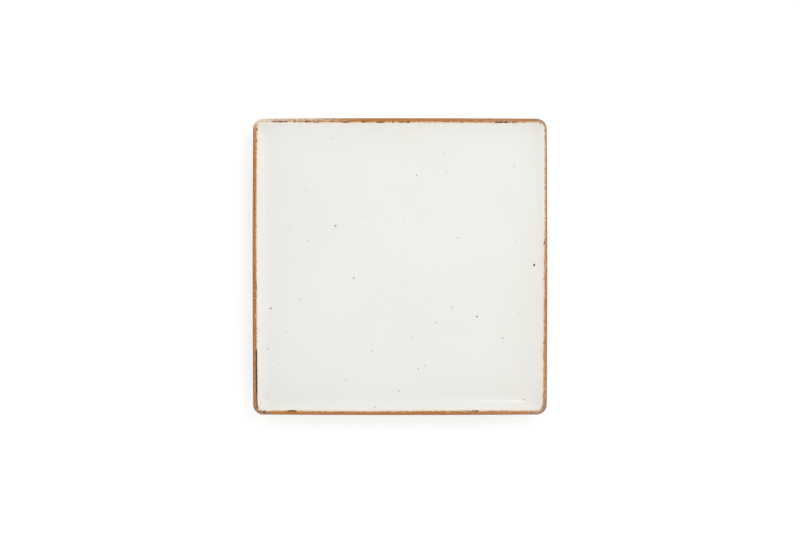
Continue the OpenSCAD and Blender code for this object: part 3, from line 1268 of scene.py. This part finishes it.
# %% [markdown]
# ## Specks and beads
# Iron specks sit in every glaze, and boiled beads sit along the burnt seam. Both are the same small
# flattened ball, set hundreds of times on a surface, which is what Geometry Nodes do best. The ball
# has a few dozen faces. Before it is set, each of its points notes how near the heart it is, and each
# grain draws how long and how wide it comes out.

# %% Geometry group: grains on points
GRAIN_SIDES = 8
GRAIN_RINGS = 5
GRAIN_LENGTHS = (0.85, 1.35)
GRAIN_WIDTHS = (0.75, 1.05)
GRAIN_INPUTS = {
    "Points": "NodeSocketGeometry", "Turn": "NodeSocketRotation", "Finish": "NodeSocketMaterial",
    "Radius": 0.5 * MM, "Strength": 1.0, "Flatness": 0.1, "Seed": 0,
}


def random_number(tree, low, high, seed):
    """A number for each point, drawn evenly between two."""
    feeds = {"Min": low, "Max": high, "Seed": seed}
    return add(tree, "FunctionNodeRandomValue", feeds, data_type="FLOAT")


def grains_on_points(given):
    """Points to flattened grains that lie on them."""
    tree = given["Points"].tree
    feeds = {"Segments": GRAIN_SIDES, "Rings": GRAIN_RINGS, "Radius": 1.0}
    ball = add(tree, "GeometryNodeMeshUVSphere", feeds, "Mesh")
    x, y, _ = split(add(tree, "GeometryNodeInputPosition"))
    heart = 1 - (x * x + y * y).math("SQRT")
    feeds = {"Geometry": ball, "Name": "heart", "Value": heart}
    ball = add(tree, "GeometryNodeStoreNamedAttribute", feeds)

    feeds = {"Geometry": given["Points"], "Name": "strength", "Value": given["Strength"]}
    points = add(tree, "GeometryNodeStoreNamedAttribute", feeds)
    length = random_number(tree, *GRAIN_LENGTHS, given["Seed"])
    width = random_number(tree, *GRAIN_WIDTHS, given["Seed"] + 1)
    radius = given["Radius"]
    size = joined(radius * length, radius * width, radius * given["Flatness"])
    feeds = {"Points": points, "Instance": ball, "Rotation": given["Turn"], "Scale": size}
    grains = add(tree, "GeometryNodeInstanceOnPoints", feeds)
    return finished(grains, given["Finish"])


grains_group = node_group(
    "GeometryNodeTree", "Grains on points", grains_on_points, GRAIN_INPUTS,
    "Grains", "NodeSocketGeometry",
)

# %% [markdown]
# Two trees use the grains. One scatters them over a coat's skin, as many as a named attribute calls
# for, so it serves the specks of the outside and the beads of the burnt seam alike. The other drops
# chosen grains straight down onto the well, for the specks that one would know this plate by.

# %% Geometry trees: scattered and chosen grains
SCATTER_INPUTS = {
    "Coat": "NodeSocketGeometry", "Finish": "NodeSocketMaterial", "Where": "NodeSocketString",
    "Density": 1000.0, "Smallest": 0.2 * MM, "Largest": 0.5 * MM, "Flatness": 0.1,
    "Weakest": 0.4, "Seed": 0,
}
CHOSEN_INPUTS = {
    "Points": "NodeSocketGeometry", "Coat": "NodeSocketObject", "Finish": "NodeSocketMaterial",
    "Flatness": 0.08, "Seed": 0,
}
LEAST_COVER = 0.3


def scattered_grains(given):
    """Grains scattered over a coat's skin."""
    tree = given["Coat"].tree
    seed = given["Seed"]
    feeds = {
        "Mesh": given["Coat"],
        "Selection": number(tree, "cover").math("GREATER_THAN", LEAST_COVER),
        "Density": number(tree, given["Where"]) * given["Density"],
        "Seed": seed,
    }
    points = add(tree, "GeometryNodeDistributePointsOnFaces", feeds, "Points")
    lot = random_number(tree, 0.0, 1.0, seed + 2)
    radius = given["Smallest"] + (given["Largest"] - given["Smallest"]) * lot * lot
    strength = random_number(tree, given["Weakest"], 1.0, seed + 3)
    feeds = {
        "Points": points, "Turn": points.beside("Rotation"), "Radius": radius, "Strength": strength,
        "Flatness": given["Flatness"], "Seed": seed + 4, "Finish": given["Finish"],
    }
    return add(tree, "GeometryNodeGroup", feeds, node_tree=grains_group)


def chosen_grains(given):
    """Grains dropped onto a coat at chosen points, which carry their radius and strength."""
    tree = given["Points"].tree
    coat = add(tree, "GeometryNodeObjectInfo", {"Object": given["Coat"]}, "Geometry")
    feeds = {"Target Geometry": coat, "Ray Direction": (0.0, 0.0, -1.0), "Ray Length": 1.0}
    landing = add(tree, "GeometryNodeRaycast", feeds, "Hit Position")
    feeds = {"Geometry": given["Points"], "Position": landing}
    landed = add(tree, "GeometryNodeSetPosition", feeds)
    feeds = {"Geometry": landed, "Name": "up", "Value": landing.beside("Hit Normal")}
    kept = add(tree, "GeometryNodeStoreNamedAttribute", feeds, data_type="FLOAT_VECTOR")
    up = number(tree, "up", "FLOAT_VECTOR")
    feeds = {
        "Points": kept, "Radius": number(tree, "radius"), "Strength": number(tree, "darkness"),
        "Turn": add(tree, "FunctionNodeAlignRotationToVector", {"Vector": up}, axis="Z"),
        "Flatness": given["Flatness"], "Seed": given["Seed"], "Finish": given["Finish"],
    }
    return add(tree, "GeometryNodeGroup", feeds, node_tree=grains_group)


scatter_tree = growing_tree("Scattered grains", scattered_grains, SCATTER_INPUTS, "Grains")
chosen_tree = growing_tree("Chosen grains", chosen_grains, CHOSEN_INPUTS, "Grains")

# %% [markdown]
# The chosen specks are read off the real plate to the half millimetre, from its middle: where each
# lies, how wide it is and how dark. The scattered ones are drawn with a fixed seed, so that the plate
# comes out the same each time.

# %% Place the specks and beads
CHOSEN_SPECKS = [
    (123.5, 1.5, 3.3, 1.0), (-59.5, 37.5, 2.6, 0.65), (15.5, 84, 1.9, 0.8), (71, -46, 2.6, 0.65),
    (-42.5, -10.5, 3.1, 0.45), (-119, -38.5, 3.4, 0.5), (53.5, 26.5, 2.9, 0.25),
    (33, -51.5, 3.3, 0.3), (94.5, -66, 2.7, 0.3), (-26, -77.5, 3.3, 0.25), (16.5, -94, 2.2, 0.55),
    (-1, -114.5, 1.7, 0.8), (114, -122.5, 2.1, 0.5), (-121.5, -75.5, 3.2, 0.35),
    (-92.5, -30, 2.8, 0.2), (48.5, -37.5, 3.5, 0.25), (-84.5, 24, 3.4, 0.2), (-86, 70, 3.0, 0.15),
    (23, -91, 2.3, 0.3), (-62.5, 117.5, 3.3, 0.15), (39.5, 104.5, 2.8, 0.2), (105.5, 92.5, 3.3, 0.2),
    (43, 87, 2.5, 0.2), (104.5, 12.5, 2.7, 0.2), (107, 22.5, 2.9, 0.2), (11, -65, 2.2, 0.2),
    (-23, -129.5, 2.6, 0.4), (-102, 34.5, 2.3, 0.2), (-10.5, 44.5, 2.2, 0.15), (-35, 45.5, 1.9, 0.2),
    (3.5, 43, 1.8, 0.3), (1.5, -16, 2.4, 0.1), (-70, -16, 1.8, 0.15), (-66.5, 6.5, 3.0, 0.1),
    (-70, 47.5, 2.0, 0.15), (-114, 67, 2.4, 0.1), (92.5, -20.5, 2.1, 0.15), (90, -61.5, 2.0, 0.2),
    (109.5, -42.5, 1.5, 0.3), (-50, -104.5, 2.6, 0.15), (-111.5, -89.5, 2.5, 0.15),
    (-121.5, -119.5, 1.8, 0.25), (-72.5, -65.5, 2.4, 0.1), (-105, -60, 2.7, 0.15),
]

speck_x, speck_y, speck_width, speck_darkness = np.array(CHOSEN_SPECKS).T
speck_points = point_mesh(
    "chosen_specks",
    np.column_stack([speck_x * MM, speck_y * MM, np.full(len(speck_x), 2 * plate_h)]), [],
    radius=speck_width * MM / 2, darkness=speck_darkness,
)
well_specks = grow(
    "well_specks", speck_points, chosen_tree,
    {"Coat": well_coat, "Finish": speck_finish, "Flatness": 0.03, "Seed": 5},
)


def scatter(name, coat, **settings):
    """Grains over one coat's skin."""
    return grow(name, coat.data.copy(), scatter_tree, settings)


outside_specks = scatter(
    "outside_specks", outside_coat, Finish=speck_finish, Where="cover",
    Density=1200.0, Smallest=0.2 * MM, Largest=0.7 * MM, Flatness=0.06, Seed=11,
)
base_specks = scatter(
    "base_specks", base_coat, Finish=speck_finish, Where="cover",
    Density=900.0, Smallest=0.2 * MM, Largest=0.7 * MM, Flatness=0.06, Seed=23,
)
rim_beads = scatter(
    "rim_beads", rim_coat, Finish=bead_finish, Where="beads",
    Density=450000.0, Smallest=0.25 * MM, Largest=0.6 * MM, Flatness=0.07, Weakest=0.85, Seed=31,
)

# %% [markdown]
# ## Handing the pieces to the frame
# Each shell stands for its CAD solid, and everything rides on the plate's one body.

# %% Ride and replace
STANDS_FOR = {
    "fired_clay": ("clay_body", "bare_clay"),
    "well_coat": ("well_glaze", "cream_glaze"),
    "rim_coat": ("rim_band", "brown_rim"),
    "outside_coat": ("outside_glaze", "cream_glaze"),
    "base_coat": ("base_glaze", "cream_glaze"),
}

for shell in shells:
    node, slot = STANDS_FOR[shell.name]
    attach(shell, "root")
    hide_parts(node)

for grains in (well_specks, outside_specks, base_specks, rim_beads):
    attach(grains, "root")

bpy.data.objects.remove(section)

# %% [markdown]
# ## The table, the light and the camera
# The plate lies on a plain white table. A camera sees the table as pure white, but still sees the
# soft shadow at the plate's edge. So the table takes most of its white from the light, and glows a
# little, which only the camera and what the plate mirrors can see.

# %% White table
TABLE_SIZE = 12.0
TABLE_WHITE = srgb(236, 236, 236)
TABLE_GLOW = 0.14
WHITE = (1.0, 1.0, 1.0, 1.0)


def seen_ray(tree):
    """1 for rays from the camera and those that mirrors and glass send on, and 0 for the rest."""
    camera_ray = add(tree, "ShaderNodeLightPath", out="Is Camera Ray")
    is_seen = camera_ray.math("MAXIMUM", camera_ray.beside("Is Glossy Ray"))
    return is_seen.math("MAXIMUM", camera_ray.beside("Is Transmission Ray"))


def white_table():
    """A plain floor that is white to the camera and keeps the plate's shadow."""
    mesh = bpy.data.meshes.new("table")
    half = TABLE_SIZE / 2
    corners = [(-half, -half, 0), (half, -half, 0), (half, half, 0), (-half, half, 0)]
    mesh.from_pydata(corners, [], [(0, 1, 2, 3)])
    table = in_scene("table", mesh)

    finish = Finish("white table")
    is_seen = seen_ray(finish.tree)
    finish.set(
        Base_Color=laid_over(TABLE_WHITE, WHITE, is_seen), Roughness=0.9,
        Emission_Color=WHITE, Emission_Strength=is_seen * TABLE_GLOW,
    )
    mesh.materials.append(finish.material)


white_table()

# %% [markdown]
# What the glaze mirrors is the other half of its look. One soft lamp stands to the right and one at
# the far side, and the room is pale everywhere else. It is brightest near the horizon, as where white
# screens stand round a table, so that a wall of the plate, which looks to the side, comes out as
# light as its floor. It is a little brighter on the near side and on the left, across from the lamps.

# %% Soft lamps and pale room
LAMPS = {
    "right_lamp": ((0.8, 0.36, 0.85), (0.75, 0.5), 0.65),
    "far_lamp": ((0.3, 0.52, 0.68), (0.26, 0.6), 1.0),
}
ROOM_LIGHT = 0.553
HORIZON_LIFT = 1.8
FAR_DIMMER = 0.07
RIGHT_DIMMER = 0.04


def soft_lamp(name, place, size, watts):
    """A soft box that faces the plate."""
    data = bpy.data.lights.new(name, "AREA")
    data.shape = "RECTANGLE"
    data.size, data.size_y = size
    data.energy = watts
    lamp = in_scene(name, data)
    lamp.location = place
    lamp.rotation_euler = lamp.location.to_track_quat("Z", "Y").to_euler()


def pale_room():
    """White to the camera and in reflections, and as light a soft grey that lifts to the horizon."""
    world = bpy.data.worlds.new("pale room")
    world.use_nodes = True
    bpy.context.scene.world = world
    tree = world.node_tree
    is_seen = seen_ray(tree)
    right, far, up = split(add(tree, "ShaderNodeTexCoord", out="Generated"))
    lifted = ROOM_LIGHT * (1 + HORIZON_LIFT * (1 - up.math("ABSOLUTE")))
    light = lifted * (1 - far * FAR_DIMMER - right * RIGHT_DIMMER)
    background = tree.nodes["Background"]
    background.inputs["Color"].default_value = WHITE
    feed(background.inputs["Strength"], light + is_seen * (1 - light))


for name, (place, size, watts) in LAMPS.items():
    soft_lamp(name, place, size, watts)
pale_room()
print("lamps:", sorted(LAMPS))

# %% [markdown]
# The camera looks straight down from over the middle of the plate, a hair off it, as the real one
# did. How many pixels wide the plate came out there, at the height of its rim, gives the lens.

# %% Camera straight above
CAMERA_HEIGHT = 1.6
CAMERA_X = 0.04 * MM
CAMERA_Y = 0.09 * MM
PHOTO_WIDTH_PX = 800
PLATE_WIDTH_PX = 294.75
SENSOR_MM = 36.0

px_per_metre = PLATE_WIDTH_PX / plate_w
camera_data = bpy.data.cameras.new("camera")
camera_data.sensor_width = SENSOR_MM
camera_data.lens = px_per_metre * SENSOR_MM * (CAMERA_HEIGHT - rim_z) / PHOTO_WIDTH_PX
camera = in_scene("camera", camera_data)
camera.location = (CAMERA_X, CAMERA_Y, CAMERA_HEIGHT)
bpy.context.scene.camera = camera
bpy.context.scene.view_settings.view_transform = "Standard"
print(f"lens {camera_data.lens:.1f} mm")
